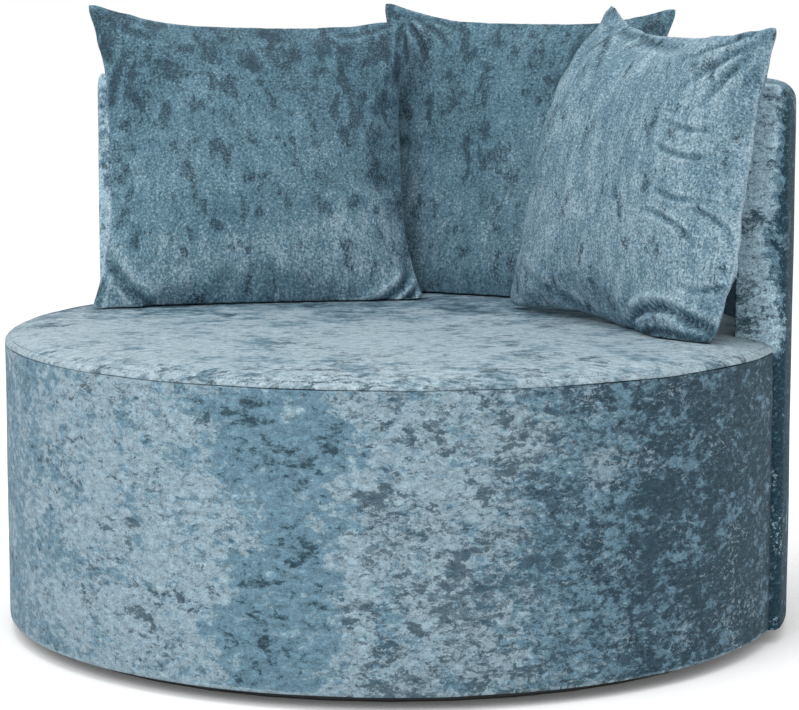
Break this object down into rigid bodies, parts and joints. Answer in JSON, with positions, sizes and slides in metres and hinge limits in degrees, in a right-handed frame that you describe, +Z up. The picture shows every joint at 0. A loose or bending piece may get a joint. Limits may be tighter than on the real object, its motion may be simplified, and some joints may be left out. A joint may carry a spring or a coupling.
{
  "type": "swivel cuddle chair",
  "caption": "Round upholstered swivel armchair: drum seat, padded back wrapped round the rear, recessed round plinth and loose square scatter cushions.",
  "frame": {"origin": "on the floor, on the vertical axis that the seat turns about", "axes": "+Z up, the front of the seat faces -Y, +X to the right seen from the front"},
  "size_m": [1.2144, 1.214, 0.9561],
  "materials": {
    "velvet": "satin",
    "lining": "matte",
    "foam": "matte",
    "felt": "matte",
    "wadding": "matte",
    "plywood": "matte",
    "hardboard": "matte",
    "plinth": "satin",
    "zinc": "satin",
    "steel": "satin",
    "nylon": "matte"
  },
  "bodies": {
    "base": {"plinth_board": "plinth", "glide_1": "nylon", "glide_2": "nylon", "glide_3": "nylon", "glide_4": "nylon", "glide_5": "nylon", "glide_6": "nylon", "bearing_lower_plate": "zinc", "lower_screw_1": "zinc", "lower_screw_2": "zinc", "lower_screw_3": "zinc", "lower_screw_4": "zinc"},
    "cage": {"bearing_cage": "steel"},
    "chair": {"bearing_upper_plate": "zinc", "upper_screw_1": "zinc", "upper_screw_2": "zinc", "upper_screw_3": "zinc", "upper_screw_4": "zinc", "base_deck": "plywood", "dust_cover": "lining", "front_post_1": "plywood", "front_post_2": "plywood", "front_post_3": "plywood", "front_post_4": "plywood", "back_post_1": "plywood", "back_post_2": "plywood", "back_post_3": "plywood", "back_post_4": "plywood", "seat_ring": "plywood", "back_top_rail": "plywood", "spring_1": "steel", "spring_2": "steel", "spring_3": "steel", "spring_4": "steel", "spring_5": "steel", "spring_pad": "felt", "seat_foam": "foam", "seat_cover": "velvet", "drum_side_board": "hardboard", "drum_padding": "wadding", "drum_front_cover": "velvet", "back_outer_board": "hardboard", "back_inner_board": "hardboard", "back_inner_foam": "foam", "back_inner_cover": "velvet", "back_padding": "wadding", "back_outer_cover": "velvet"},
    "cushion_left": {"cushion_left_cover": "velvet", "cushion_left_insert": "wadding", "cushion_left_zip": "nylon"},
    "cushion_middle": {"cushion_middle_cover": "velvet", "cushion_middle_insert": "wadding", "cushion_middle_zip": "nylon"},
    "cushion_right": {"cushion_right_cover": "velvet", "cushion_right_insert": "wadding", "cushion_right_zip": "nylon"}
  },
  "joints": [
    {"name": "swivel", "type": "hinge", "parent": "base", "child": "chair", "pos_m": [0, 0, 0.029], "axis": [0, 0, 1], "continuous": true},
    {"name": "cage_turn", "type": "hinge", "parent": "base", "child": "cage", "pos_m": [0, 0, 0.029], "axis": [0, 0, 1], "continuous": true},
    {"name": "lift_left", "type": "slide", "parent": "chair", "child": "cushion_left", "axis": [-0.0913, 0.105, 0.9903], "range_m": [0, 0.55]},
    {"name": "lift_middle", "type": "slide", "parent": "chair", "child": "cushion_middle", "axis": [0, 0.1736, 0.9848], "range_m": [0, 0.55]},
    {"name": "lift_right", "type": "slide", "parent": "chair", "child": "cushion_right", "axis": [0.0308, 0.0423, 0.9986], "range_m": [0, 0.55]}
  ],
  "couplings": [
    {"joint": "cage_turn", "follows": "swivel", "ratio": 0.5}
  ]
}
